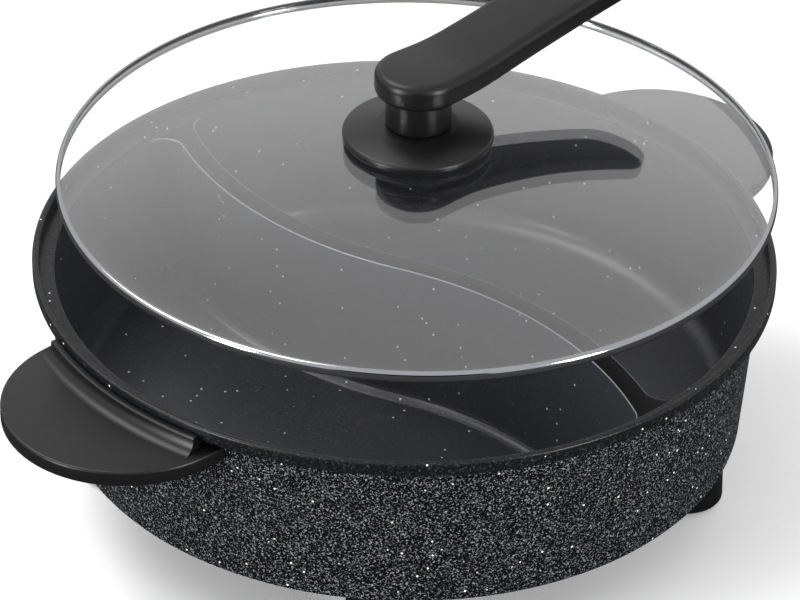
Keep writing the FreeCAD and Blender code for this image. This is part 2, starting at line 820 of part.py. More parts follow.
# Lid: a domed pane held in a rolled steel ring, with a steam vent
ring_bore = ring_radius - size.ring_lip
ring_inside = ring_radius - size.ring_sheet
ring_top = lid_level + size.ring_height
lid_ring = turned("lid_ring", [
    (ring_bore, lid_level),
    (ring_radius, lid_level),
    (ring_radius, ring_top),
    (ring_bore, ring_top),
    (ring_bore, ring_top - size.ring_sheet),
    (ring_inside, ring_top - size.ring_sheet),
    (ring_inside, lid_level + size.ring_sheet),
    (ring_bore, lid_level + size.ring_sheet),
])
pane_edge = ring_inside - size.gap
pane_bend = pane_edge - size.glass_flat
dome_radius = (pane_bend * pane_bend + size.glass_crown * size.glass_crown) / (2 * size.glass_crown)
dome_rise = root(dome_radius * dome_radius - size.glass_hole_radius * size.glass_hole_radius)
pane_top = glass_level + size.glass_thickness
upper_centre = crown_level - dome_radius
lower_centre = upper_centre - size.glass_thickness
lid_pane = turned("lid_pane", [
    (size.glass_hole_radius, lower_centre + dome_rise),
    (pane_bend, glass_level),
    (pane_edge, glass_level),
    (pane_edge, pane_top),
    (pane_bend, pane_top),
    (size.glass_hole_radius, upper_centre + dome_rise),
], {0: (0, lower_centre), 4: (0, upper_centre)})
vent_x = size.vent_circle * cosine(size.vent_azimuth)
vent_y = size.vent_circle * sine(size.vent_azimuth)
vent_level = upper_centre + root(
    dome_radius * dome_radius - size.vent_circle * size.vent_circle) - size.glass_thickness
vent_lean = size.vent_circle / dome_radius


def lean_on_pane(item):
    """Stand an item square to the pane at the steam vent."""
    azimuth = size.vent_azimuth.number
    lean = math.degrees(math.asin(vent_lean.number))
    around = FreeCAD.Rotation(FreeCAD.Vector(0, 0, 1), azimuth)
    item.Placement.Rotation = around.multiply(FreeCAD.Rotation(FreeCAD.Vector(0, 1, 0), lean))
    return place(item, vent_x, vent_y, vent_level)


vent_cutter = cylinder(
    "vent_cutter", size.vent_barrel_radius + size.gap, size.vent_cutter_length)
vent_cutter_centred = new_item("Part::Feature", "vent_cutter_centred")
doc.recompute()
cutter_shape = vent_cutter.Shape.copy()
cutter_shape.translate(FreeCAD.Vector(0, 0, -size.vent_cutter_length.number / 3))
vent_cutter_centred.Shape = cutter_shape
lean_on_pane(vent_cutter_centred)
lid_glass = cut("lid_glass", lid_pane, [vent_cutter_centred])
vent_top = size.glass_thickness + size.close_fit
steam_vent = turned("steam_vent", [
    (size.vent_bore_radius, -size.close_fit - size.vent_flange_thickness),
    (size.vent_flange_radius, -size.close_fit - size.vent_flange_thickness),
    (size.vent_flange_radius, -size.close_fit),
    (size.vent_barrel_radius, -size.close_fit),
    (size.vent_barrel_radius, vent_top),
    (size.vent_flange_radius, vent_top),
    (size.vent_flange_radius, vent_top + size.vent_flange_thickness),
    (size.vent_bore_radius, vent_top + size.vent_flange_thickness),
])
lean_on_pane(steam_vent)


# Knob stack on the lid's middle: seal, disc, neck and the arm that carries the lid
screw_bore = size.knob_screw_radius + size.gap
seal_level = crown_level + size.close_fit
seal_top = seal_level + size.seal_thickness
disc_rim = seal_level
disc_edge_top = disc_rim + size.disc_edge
disc_top = disc_rim + size.disc_hub
neck_top = disc_top + size.neck_height
knob_seal = turned("knob_seal", [
    (screw_bore, seal_level),
    (size.seal_radius, seal_level),
    (size.seal_radius, seal_top),
    (screw_bore, seal_top),
])
knob_disc = turned("knob_disc", [
    (screw_bore, seal_top),
    (size.seal_radius + size.gap * 2, seal_top),
    (size.seal_radius + size.gap * 2, disc_rim),
    (size.disc_radius, disc_rim),
    (size.disc_radius, disc_edge_top),
    (size.disc_shoulder, disc_top),
    (screw_bore, disc_top),
])
round_edges(knob_disc, "disc_rounding", size.rim_rounding, [
    (size.disc_radius, disc_rim),
    (size.disc_radius, disc_edge_top),
    (size.disc_shoulder, disc_top),
])
knob_neck = turned("knob_neck", [
    (screw_bore, disc_top),
    (size.neck_radius - size.neck_groove, disc_top),
    (size.neck_radius, disc_top + size.neck_groove),
    (size.neck_radius, neck_top),
    (screw_bore, neck_top),
])

waist_bend = (size.arm_span * size.arm_span / 4 + size.arm_waist * size.arm_waist
              - size.arm_end_radius * size.arm_end_radius) / (
                  2 * (size.arm_end_radius - size.arm_waist))
waist_x = size.arm_span / 2
waist_y = waist_bend + size.arm_waist
join_share = size.arm_end_radius / (waist_bend + size.arm_end_radius)
join_x = waist_x * join_share
join_y = waist_y * join_share
tip_x = size.arm_span + size.arm_end_radius
arm_plan = flat_sketch("arm_plan", neck_top, [
    (-size.arm_end_radius, 0),
    (join_x, -join_y),
    (size.arm_span - join_x, -join_y),
    (tip_x, 0),
    (size.arm_span - join_x, join_y),
    (join_x, join_y),
], {
    0: (0, 0),
    1: (waist_x, -waist_y),
    2: (size.arm_span, 0),
    3: (size.arm_span, 0),
    4: (waist_x, waist_y),
    5: (0, 0),
})
arm_column = new_item("Part::Extrusion", "arm_column")
arm_column.Base = arm_plan
arm_column.Dir = FreeCAD.Vector(0, 0, 1)
arm_column.Solid = True
bind(arm_column, {"LengthFwd": size.arm_span})
slope_sine, slope_cosine = sine(size.arm_rise_angle), cosine(size.arm_rise_angle)
slope = tangent(size.arm_rise_angle)
upper_bend = size.arm_bend - size.arm_thickness
bend_centre = (size.arm_level, neck_top + size.arm_bend)
lower_turn = (size.arm_level + size.arm_bend * slope_sine,
              bend_centre[1] - size.arm_bend * slope_cosine)
upper_turn = (size.arm_level + upper_bend * slope_sine,
              bend_centre[1] - upper_bend * slope_cosine)
arm_overrun = tip_x + size.arm_thickness
arm_side = new_item("Sketcher::SketchObject", "arm_side")
outline(arm_side, [
    (-size.arm_end_radius - size.arm_thickness, neck_top),
    (size.arm_level, neck_top),
    lower_turn,
    (arm_overrun, lower_turn[1] + (arm_overrun - lower_turn[0]) * slope),
    (arm_overrun, upper_turn[1] + (arm_overrun - upper_turn[0]) * slope),
    upper_turn,
    (size.arm_level, neck_top + size.arm_thickness),
    (-size.arm_end_radius - size.arm_thickness, neck_top + size.arm_thickness),
], {1: bend_centre, 5: bend_centre})
arm_side.Placement.Rotation = FreeCAD.Rotation(FreeCAD.Vector(1, 0, 0), 90)
arm_strip = new_item("Part::Extrusion", "arm_strip")
arm_strip.Base = arm_side
arm_strip.Dir = FreeCAD.Vector(0, 1, 0)
arm_strip.Solid = True
arm_strip.Symmetric = True
bind(arm_strip, {"LengthFwd": size.arm_blank_width})
arm_form = common("arm_form", [arm_column, arm_strip])
doc.recompute()


def arm_edges():
    """Return the arm's long edges with their rounding, larger above than below."""
    middle = size.arm_span.number / 2
    picked = []
    for number, edge in enumerate(arm_form.Shape.Edges, start=1):
        points = edge.discretize(5)
        across = abs(points[0].x - points[-1].x) < 0.01 and abs(edge.CenterOfMass.y) < 0.01
        upright = abs(points[0].x - points[-1].x) < 0.01 and abs(points[0].y - points[-1].y) < 0.01
        if upright or (across and len(edge.Vertexes) == 2 and edge.Curve.TypeId == "Part::GeomLine"):
            continue
        spot = points[2]
        past = max(spot.x - size.arm_level.number, 0)
        above = spot.z > neck_top.number + size.arm_thickness.number / 2 + past * slope.number
        rounding = size.arm_top_rounding if above else size.arm_bottom_rounding
        picked.append((number, rounding.number, rounding.number))
    return picked


arm_rounded = new_item("Part::Fillet", "arm_rounded")
arm_rounded.Base = arm_form
arm_rounded.Edges = arm_edges()
knob_arm = cut("knob_arm", arm_rounded, [cylinder(
    "arm_screw_hole", size.knob_screw_radius + size.close_fit / 2,
    size.knob_screw_reach + size.gap, 0, 0, neck_top)])

pane_under = crown_level - size.glass_thickness
washer_level = pane_under - size.close_fit - size.washer_thickness
inner_washer = cut("inner_washer", cylinder(
    "washer_blank", size.washer_radius, size.washer_thickness, 0, 0, washer_level,
), [cylinder("washer_hole", screw_bore, size.washer_thickness, 0, 0, washer_level)])
knob_screw = screw(
    "knob_screw", 0, 0, washer_level, size.knob_screw_head_radius, size.knob_screw_head_height,
    size.knob_screw_radius, neck_top - washer_level + size.knob_screw_reach)

for item in (lid_ring, lid_glass, knob_seal, knob_disc, knob_neck, knob_arm, inner_washer,
             knob_screw):
    place(item, size.lid_shift_x, size.lid_shift_y)
place(steam_vent, vent_x + size.lid_shift_x, vent_y + size.lid_shift_y, vent_level)

doc.recompute()
SUB_PARTS = [
    pot_body, *feet, foot_pads, foot_screws, *handles, *handle_screws,
    heating_element, element_cover, cover_screws,
    inlet_housing, inlet_screws, pin_insulators, inlet_pins, probe_sleeve,
    lid_ring, lid_glass, steam_vent, knob_seal, knob_disc, knob_neck, knob_arm,
    inner_washer, knob_screw,
]
for item in doc.Objects:
    if "Invalid" in item.State or "Error" in item.State:
        raise RuntimeError(f"{item.Label} did not build: {item.getStatusString()}")
for item in SUB_PARTS:
    if item.Shape.isNull() or not item.Shape.isValid():
        raise RuntimeError(f"{item.Label} has no sound shape")
os.makedirs("parts", exist_ok=True)
for item in SUB_PARTS:
    item.Shape.exportStep(f"parts/{item.Label}.step")
    bounds = item.Shape.BoundBox
    print(f"{item.Label}: {len(item.Shape.Solids)} solids, volume {item.Shape.Volume:.0f}, "
          f"x {bounds.XMin:.1f} to {bounds.XMax:.1f}, y {bounds.YMin:.1f} to {bounds.YMax:.1f}, "
          f"z {bounds.ZMin:.1f} to {bounds.ZMax:.1f}")
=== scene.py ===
"""Dress the divided electric hot pot and its lifted glass lid, and set up the studio.

Lengths are in metres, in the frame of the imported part: the origin is on the table under
the middle of the pot, +X runs through the right handle and +Z is up.
"""
import logging
import math
from dataclasses import dataclass, field
from enum import Enum

import bmesh
import bpy
from mathutils import Matrix, Vector


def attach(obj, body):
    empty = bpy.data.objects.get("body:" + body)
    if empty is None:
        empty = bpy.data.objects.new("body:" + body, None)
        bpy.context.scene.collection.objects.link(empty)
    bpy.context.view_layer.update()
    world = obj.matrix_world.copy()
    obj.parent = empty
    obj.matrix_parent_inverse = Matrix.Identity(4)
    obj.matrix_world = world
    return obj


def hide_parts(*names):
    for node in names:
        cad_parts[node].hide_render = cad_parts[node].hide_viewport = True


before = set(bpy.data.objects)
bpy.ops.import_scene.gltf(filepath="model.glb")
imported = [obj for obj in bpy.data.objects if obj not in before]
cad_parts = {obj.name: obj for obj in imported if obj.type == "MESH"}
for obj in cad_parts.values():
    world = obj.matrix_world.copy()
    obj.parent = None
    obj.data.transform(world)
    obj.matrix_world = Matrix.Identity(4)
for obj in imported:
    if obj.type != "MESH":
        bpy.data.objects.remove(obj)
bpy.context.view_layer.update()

MM = 0.001
LOG = logging.getLogger("hot_pot")
# The lid is held a little to one side of the pot's axis
LID_SHIFT = Vector((3.3, -3.05, 0)) * MM
Spot = tuple[float, float]


def linear(hex_colour: str) -> tuple[float, float, float, float]:
    """Turn an sRGB hex colour into the linear colour that a shader takes.

    Args:
        hex_colour: Six hex digits after a hash.

    Returns:
        Red, green and blue, and an alpha of 1.
    """
    parts = [int(hex_colour[start:start + 2], 16) / 255 for start in (1, 3, 5)]
    red, green, blue = (
        part / 12.92 if part <= 0.04045 else ((part + 0.055) / 1.055) ** 2.4 for part in parts
    )
    return red, green, blue, 1.0


def add_node(
    tree: bpy.types.NodeTree,
    kind: str,
    values: dict[str | int, object] | None = None,
    links: dict[str | int, bpy.types.NodeSocket] | None = None,
    **settings: object,
) -> bpy.types.Node:
    """Add a node with its settings, its plain input values and its incoming links.

    Args:
        tree: The node tree that gets the node.
        kind: The name of the node type.
        values: Values for input sockets, by name or number.
        links: Sockets that feed input sockets, by name or number.
        **settings: Properties of the node itself.

    Returns:
        The new node.
    """
    node = tree.nodes.new(kind)
    for name, value in settings.items():
        setattr(node, name, value)
    for name, value in (values or {}).items():
        node.inputs[name].default_value = value
    for name, source in (links or {}).items():
        tree.links.new(source, node.inputs[name])
    return node


def new_tree(name: str) -> tuple[bpy.types.Material, bpy.types.NodeTree]:
    """Make a material with an empty node tree, and return both."""
    material = bpy.data.materials.new(name)
    material.use_nodes = True
    material.node_tree.nodes.clear()
    return material, material.node_tree


def close_tree(
    tree: bpy.types.NodeTree,
    values: dict[str | int, object],
    links: dict[str | int, bpy.types.NodeSocket] | None = None,
) -> None:
    """End a node tree in one principled shader and the output.

    Args:
        tree: The material's node tree.
        values: Plain values of the shader's sockets.
        links: Sockets that feed the shader.
    """
    shader = add_node(tree, "ShaderNodeBsdfPrincipled", values, links)
    add_node(tree, "ShaderNodeOutputMaterial", links={"Surface": shader.outputs[0]})


def own_space(tree: bpy.types.NodeTree) -> bpy.types.NodeSocket:
    """Return the piece's own coordinates, in metres."""
    return add_node(tree, "ShaderNodeTexCoord").outputs["Object"]


@dataclass(frozen=True)
class StoneCoating:
    """Sprayed and baked non-stick coating with stone-like speckles, on cast aluminium.

    A black ground carries a dense fine grain and, further apart, larger light specks.
    The grain stands up a little, so the coat is never quite smooth to the eye.
    """

    name: str
    ground: str
    grain_colour: str
    speck_colour: str
    grain_width: float
    grain_start: float
    grain_end: float
    speck_spacing: float
    speck_radius: float
    speck_share: float
    roughness: float
    grain_height: float
    gloss: float

    def build(self) -> bpy.types.Material:
        """Make the material."""
        material, tree = new_tree(self.name)
        space = own_space(tree)
        grain = add_node(
            tree, "ShaderNodeTexNoise",
            {"Scale": 1 / self.grain_width, "Detail": 1.5, "Roughness": 0.5, "Distortion": 0.8},
            {"Vector": space})
        grain_mask = add_node(
            tree, "ShaderNodeMapRange",
            {"From Min": self.grain_start, "From Max": self.grain_end},
            {"Value": grain.outputs[0]})
        specks = add_node(
            tree, "ShaderNodeTexVoronoi", {"Scale": 1 / self.speck_spacing}, {"Vector": space})
        edge = self.speck_radius / self.speck_spacing
        speck_mask = add_node(
            tree, "ShaderNodeMapRange", {"From Min": edge, "From Max": edge * 0.6},
            {"Value": specks.outputs["Distance"]})
        cell = add_node(tree, "ShaderNodeSeparateColor", links={0: specks.outputs["Color"]})
        chosen = add_node(
            tree, "ShaderNodeMath", {1: self.speck_share}, {0: cell.outputs[0]},
            operation="LESS_THAN")
        amount = add_node(
            tree, "ShaderNodeMath", links={0: speck_mask.outputs[0], 1: chosen.outputs[0]},
            operation="MULTIPLY")
        grained = add_node(
            tree, "ShaderNodeMix", {6: linear(self.ground), 7: linear(self.grain_colour)},
            {0: grain_mask.outputs[0]}, data_type="RGBA")
        speckled = add_node(
            tree, "ShaderNodeMix", {7: linear(self.speck_colour)},
            {0: amount.outputs[0], 6: grained.outputs[2]}, data_type="RGBA")
        bump = add_node(
            tree, "ShaderNodeBump", {"Strength": 1.0, "Distance": self.grain_height},
            {"Height": grain.outputs[0]})
        close_tree(
            tree, {"Roughness": self.roughness, "IOR": 1.5, "Specular IOR Level": self.gloss},
            {"Base Color": speckled.outputs[2], "Normal": bump.outputs[0]})
        return material


@dataclass(frozen=True)
class Moulding:
    """Moulded plastic, rubber or ceramic with the faint grain that its mould leaves."""

    name: str
    colour: str
    roughness: float
    ior: float = 1.5
    gloss: float = 0.5
    grain_width: float = 0.6 * MM
    grain_height: float = 0.01 * MM
    shade: float = 0.12

    def build(self) -> bpy.types.Material:
        """Make the material."""
        material, tree = new_tree(self.name)
        grain = add_node(
            tree, "ShaderNodeTexNoise", {"Scale": 1 / self.grain_width, "Detail": 2.0},
            {"Vector": own_space(tree)})
        red, green, blue, _ = linear(self.colour)
        lighter = (red * (1 + self.shade), green * (1 + self.shade), blue * (1 + self.shade), 1.0)
        colour = add_node(
            tree, "ShaderNodeMix", {6: linear(self.colour), 7: lighter},
            {0: grain.outputs[0]}, data_type="RGBA")
        bump = add_node(
            tree, "ShaderNodeBump", {"Strength": 1.0, "Distance": self.grain_height},
            {"Height": grain.outputs[0]})
        close_tree(
            tree,
            {"Roughness": self.roughness, "IOR": self.ior, "Specular IOR Level": self.gloss},
            {"Base Color": colour.outputs[2], "Normal": bump.outputs[0]})
        return material


@dataclass(frozen=True)
class Metal:
    """Steel, and the bright metal strip of a painted highlight, with the fine lines of rolling or
    turning round the Z axis.
    """

    name: str
    colour: str
    roughness: float
    line_width: float = 0.8 * MM
    line_height: float = 0.004 * MM

    def build(self) -> bpy.types.Material:
        """Make the material."""
        material, tree = new_tree(self.name)
        place = add_node(
            tree, "ShaderNodeMapping", {"Scale": (0.05, 0.05, 1.0)}, {"Vector": own_space(tree)})
        lines = add_node(
            tree, "ShaderNodeTexNoise", {"Scale": 1 / self.line_width, "Detail": 2.0},
            {"Vector": place.outputs[0]})
        red, green, blue, _ = linear(self.colour)
        darker = (red * 0.88, green * 0.88, blue * 0.88, 1.0)
        colour = add_node(
            tree, "ShaderNodeMix", {6: darker, 7: linear(self.colour)},
            {0: lines.outputs[0]}, data_type="RGBA")
        bump = add_node(
            tree, "ShaderNodeBump", {"Strength": 1.0, "Distance": self.line_height},
            {"Height": lines.outputs[0]})
        close_tree(
            tree, {"Roughness": self.roughness, "Metallic": 1.0},
            {"Base Color": colour.outputs[2], "Normal": bump.outputs[0]})
        return material


@dataclass(frozen=True)
class PaneGlass:
    """Tempered soda-lime glass, pressed to a shallow dome and polished by fire.

    Seen at a slant under a bright room it carries a white veil over what lies below it,
    which is stronger towards the pane's edge, where the eye meets it flatter.
    """

    name: str
    colour: str
    least_slant: float
    most_slant: float
    least_veil: float
    most_veil: float
    roughness: float

    def build(self) -> bpy.types.Material:
        """Make the material."""
        material, tree = new_tree(self.name)
        slant = add_node(tree, "ShaderNodeLayerWeight", {"Blend": 0.5})
        share = add_node(
            tree, "ShaderNodeMapRange",
            {"From Min": self.least_slant, "From Max": self.most_slant,
             "To Min": self.least_veil, "To Max": self.most_veil},
            {"Value": slant.outputs["Facing"]}, interpolation_type="SMOOTHSTEP")
        clear = add_node(tree, "ShaderNodeBsdfTransparent", {"Color": linear("#ffffff")})
        gloss = add_node(
            tree, "ShaderNodeBsdfAnisotropic",
            {"Color": linear(self.colour), "Roughness": self.roughness})
        pane = add_node(
            tree, "ShaderNodeMixShader",
            links={0: share.outputs[0], 1: clear.outputs[0], 2: gloss.outputs[0]})
        add_node(tree, "ShaderNodeOutputMaterial", links={"Surface": pane.outputs[0]})
        return material


class Coat(Enum):
    """The places of the casting where the speckled coating looks different."""

    # Outer wall: rough to the touch, and grained all over
    WALL = StoneCoating(
        name="speckled_coating_wall",
        ground="#060607", grain_colour="#7e8186", speck_colour="#f6f7f8",
        grain_width=0.8 * MM, grain_start=0.55, grain_end=0.71,
        speck_spacing=4.2 * MM, speck_radius=0.55 * MM, speck_share=0.40,
        roughness=0.34, grain_height=0.40 * MM, gloss=0.16)
    # Rim: smoother, with few specks
    RIM = StoneCoating(
        name="speckled_coating_rim",
        ground="#0a0b0c", grain_colour="#3c3e42", speck_colour="#f0f1f3",
        grain_width=0.9 * MM, grain_start=0.56, grain_end=0.78,
        speck_spacing=4.6 * MM, speck_radius=0.55 * MM, speck_share=0.40,
        roughness=0.30, grain_height=0.08 * MM, gloss=0.25)
    # Inside: smooth enough to wipe clean; its ground is painted lighter than the coat's own black, as
    # painted light in the dim hollow
    INSIDE = StoneCoating(
        name="speckled_coating_inside_painted_light",
        ground="#2c2d31", grain_colour="#4b4d53", speck_colour="#c4c7cc",
        grain_width=0.9 * MM, grain_start=0.58, grain_end=0.80,
        speck_spacing=5.5 * MM, speck_radius=0.60 * MM, speck_share=0.40,
        roughness=0.30, grain_height=0.03 * MM, gloss=0.35)
    # Top of the dividing wall: rubbed nearly plain
    DIVIDER_TOP = StoneCoating(
        name="speckled_coating_divider_top",
        ground="#060607", grain_colour="#0d0e0f", speck_colour="#8f9298",
        grain_width=0.9 * MM, grain_start=0.60, grain_end=0.85,
        speck_spacing=14 * MM, speck_radius=0.40 * MM, speck_share=0.30,
        roughness=0.40, grain_height=0.02 * MM, gloss=0.06)
    # Rounded edges of that top: a light grey ground, a painted highlight along them
    DIVIDER_EDGE_PAINTED_HIGHLIGHT = StoneCoating(
        name="speckled_coating_divider_edge_painted_highlight",
        ground="#6c6e73", grain_colour="#85878c", speck_colour="#f0f1f3",
        grain_width=0.9 * MM, grain_start=0.60, grain_end=0.85,
        speck_spacing=14 * MM, speck_radius=0.40 * MM, speck_share=0.30,
        roughness=0.30, grain_height=0.02 * MM, gloss=0.6)


class Finish(Enum):
    """Every other finish of the object."""

    # Phenolic moulding: hard, satin and nearly black
    PHENOLIC = Moulding("black_phenolic_moulding", "#0b0b0c", 0.34, 1.5, 0.3)
    # Silicone rubber: matt, with no clear highlight
    SILICONE = Moulding("black_silicone_rubber", "#161616", 0.75, 1.41)
    # Fired steatite bush: off-white with a soft shine
    STEATITE = Moulding("fired_steatite", "#d9d4c7", 0.45, 1.6)
    # Stainless steel, rolled and buffed to a mirror
    BUFFED_STEEL = Metal("buffed_stainless_steel", "#a2a3a7", 0.10)
    # Pressed and screw steel, as it leaves the tool
    PLAIN_STEEL = Metal("pressed_steel", "#a9aaad", 0.34)
    # The casting's foot ring: a bright metal strip, a painted highlight along the base edge
    FOOT_RING_PAINTED_HIGHLIGHT = Metal("foot_ring_painted_highlight_metal", "#c9cacc", 0.30)
    # Sheath of the heating element, darkened by heat
    OXIDISED_STEEL = Metal("oxidised_steel_sheath", "#4c4a49", 0.55)
    GLASS = PaneGlass("tempered_pane_glass", "#ffffff", 0.30, 0.60, 0.08, 0.19, 0.03)


MADE: dict[str, bpy.types.Material] = {}


def material_of(finish: Coat | Finish) -> bpy.types.Material:
    """Return a finish's material, and make it the first time that it is asked for."""
    if finish.value.name not in MADE:
        MADE[finish.value.name] = finish.value.build()
    return MADE[finish.value.name]


def arc(centre: Spot, start: Spot, end: Spot, steps: int) -> list[Spot]:
    """Follow the shorter arc round a centre.

    Args:
        centre: The arc's centre.
        start: The arc's first point, which the result leaves out.
        end: The arc's last point, which the result ends with.
        steps: The number of chords.

    Returns:
        The points after the start.
    """
    first = math.atan2(start[1] - centre[1], start[0] - centre[0])
    last = math.atan2(end[1] - centre[1], end[0] - centre[0])
    sweep = (last - first + math.pi) % math.tau - math.pi
    radius = math.dist(centre, start)
    return [
        (centre[0] + radius * math.cos(first + sweep * step / steps),
         centre[1] + radius * math.sin(first + sweep * step / steps))
        for step in range(1, steps + 1)
    ]


def profile_face(
    shape: bmesh.types.BMesh, corners: list[Spot], roundings: dict[int, float] | None = None,
) -> bmesh.types.BMFace:
    """Stand a closed profile of radii and heights in the XZ plane.

    Args:
        shape: The bmesh that gets the face.
        corners: Radius and height of each corner, in millimetres.
        roundings: The radius that a corner is rounded to, by the corner's number.

    Returns:
        The face.
    """
    verts = [shape.verts.new((radius * MM, 0, height * MM)) for radius, height in corners]
    shape.faces.new(verts)
    for number, radius in (roundings or {}).items():
        before, spot, after = (Vector(corners[(number + step) % len(corners)]) for step in (-1, 0, 1))
        opening = (before - spot).angle(after - spot)
        bmesh.ops.bevel(
            shape, geom=[verts[number]], offset=radius * MM / math.tan(opening / 2),
            offset_type="OFFSET", affect="VERTICES", segments=max(4, round(radius * 1.2)),
            profile=0.5, material=-1)
    return next(iter(shape.faces))


def turn_profile(
    corners: list[Spot], roundings: dict[int, float] | None = None, steps: int = 192,
    angle: float = math.tau,
) -> bmesh.types.BMesh:
    """Turn a closed profile about the Z axis.

    Args:
        corners: Radius and height of each corner, in millimetres.
        roundings: The radius that a corner is rounded to, by the corner's number.
        steps: The number of flats round the turn.
        angle: How far the profile turns, centred on +X.

    Returns:
        The turned shape, closed at both ends where it is no full turn.
    """
    shape = bmesh.new()
    face = profile_face(shape, corners, roundings)
    full = angle > math.tau - 0.001
    if full:
        bmesh.ops.delete(shape, geom=[face], context="FACES_ONLY")
    else:
        bmesh.ops.rotate(
            shape, verts=shape.verts, cent=(0, 0, 0), matrix=Matrix.Rotation(-angle / 2, 3, "Z"))
    bmesh.ops.spin(
        shape, geom=shape.verts[:] + shape.edges[:] + shape.faces[:], cent=(0, 0, 0),
        axis=(0, 0, 1), angle=angle, steps=steps, use_merge=full, use_duplicate=False)
    bmesh.ops.remove_doubles(shape, verts=shape.verts, dist=0.002 * MM)
    if not full:
        bmesh.ops.holes_fill(shape, edges=shape.edges)
    bmesh.ops.recalc_face_normals(shape, faces=shape.faces)
    return shape


def raise_outline(spots: list[Spot], bottom: float, height: float) -> bmesh.types.BMesh:
    """Raise a closed plan outline to a solid.

    Args:
        spots: The outline's points, in millimetres.
        bottom: The level of its underside, in millimetres.
        height: How far it rises, in millimetres.

    Returns:
        The solid.
    """
    shape = bmesh.new()
    face = shape.faces.new([shape.verts.new((x * MM, y * MM, bottom * MM)) for x, y in spots])
    raised = bmesh.ops.extrude_face_region(shape, geom=[face], use_keep_orig=True)
    verts = [item for item in raised["geom"] if isinstance(item, bmesh.types.BMVert)]
    bmesh.ops.translate(shape, verts=verts, vec=(0, 0, height * MM))
    bmesh.ops.recalc_face_normals(shape, faces=shape.faces)
    return shape


def soften(
    shape: bmesh.types.BMesh, radius: float, segments: int, least_angle: float = 50,
    level: float | None = None,
) -> None:
    """Round the sharp edges of a shape.

    Args:
        shape: The shape.
        radius: The rounding, in millimetres.
        segments: The number of flats over the rounding.
        least_angle: Edges that turn by less than this, in degrees, stay.
        level: Where given, only edges that lie at this height, in millimetres, are rounded.
    """
    picked = [
        edge for edge in shape.edges
        if edge.is_manifold and edge.calc_face_angle() > math.radians(least_angle)
        and (level is None or all(abs(vert.co.z - level * MM) < 0.01 * MM for vert in edge.verts))
    ]
    bmesh.ops.bevel(
        shape, geom=picked, offset=radius * MM, offset_type="OFFSET", affect="EDGES",
        segments=segments, profile=0.5, material=-1, clamp_overlap=True)


def join(shapes: list[bmesh.types.BMesh]) -> bmesh.types.BMesh:
    """Put several shapes into one bmesh and free them."""
    whole = bmesh.new()
    for shape in shapes:
        carrier = bpy.data.meshes.new("carrier")
        shape.to_mesh(carrier)
        whole.from_mesh(carrier)
        bpy.data.meshes.remove(carrier)
        shape.free()
    return whole


def finish_piece(
    name: str,
    shape: bmesh.types.BMesh,
    finishes: list[Coat | Finish],
    nodes: list[str],
    body: str,
    crease: float = 32,
) -> bpy.types.Object:
    """Make a shape the object that stands for CAD nodes.

    Args:
        name: The piece's name.
        shape: The finished shape, which is freed.
        finishes: Its finishes, in the order of its faces' material numbers.
        nodes: The CAD nodes that it stands for.
        body: The body that it moves with.
        crease: Edges that turn by more than this, in degrees, stay sharp.

    Returns:
        The object.
    """
    if body == "lid":
        bmesh.ops.translate(shape, verts=shape.verts, vec=LID_SHIFT)
    for face in shape.faces:
        face.smooth = True
    for edge in shape.edges:
        edge.smooth = edge.is_manifold and edge.calc_face_angle() < math.radians(crease)
    mesh = bpy.data.meshes.new(name)
    shape.to_mesh(mesh)
    shape.free()
    for finish in finishes:
        mesh.materials.append(material_of(finish))
    piece = bpy.data.objects.new(name, mesh)
    bpy.context.scene.collection.objects.link(piece)
    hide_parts(*nodes)
    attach(piece, body)
    LOG.info("%s: %d faces, stands for %s", name, len(mesh.polygons), ", ".join(nodes))
    return piece


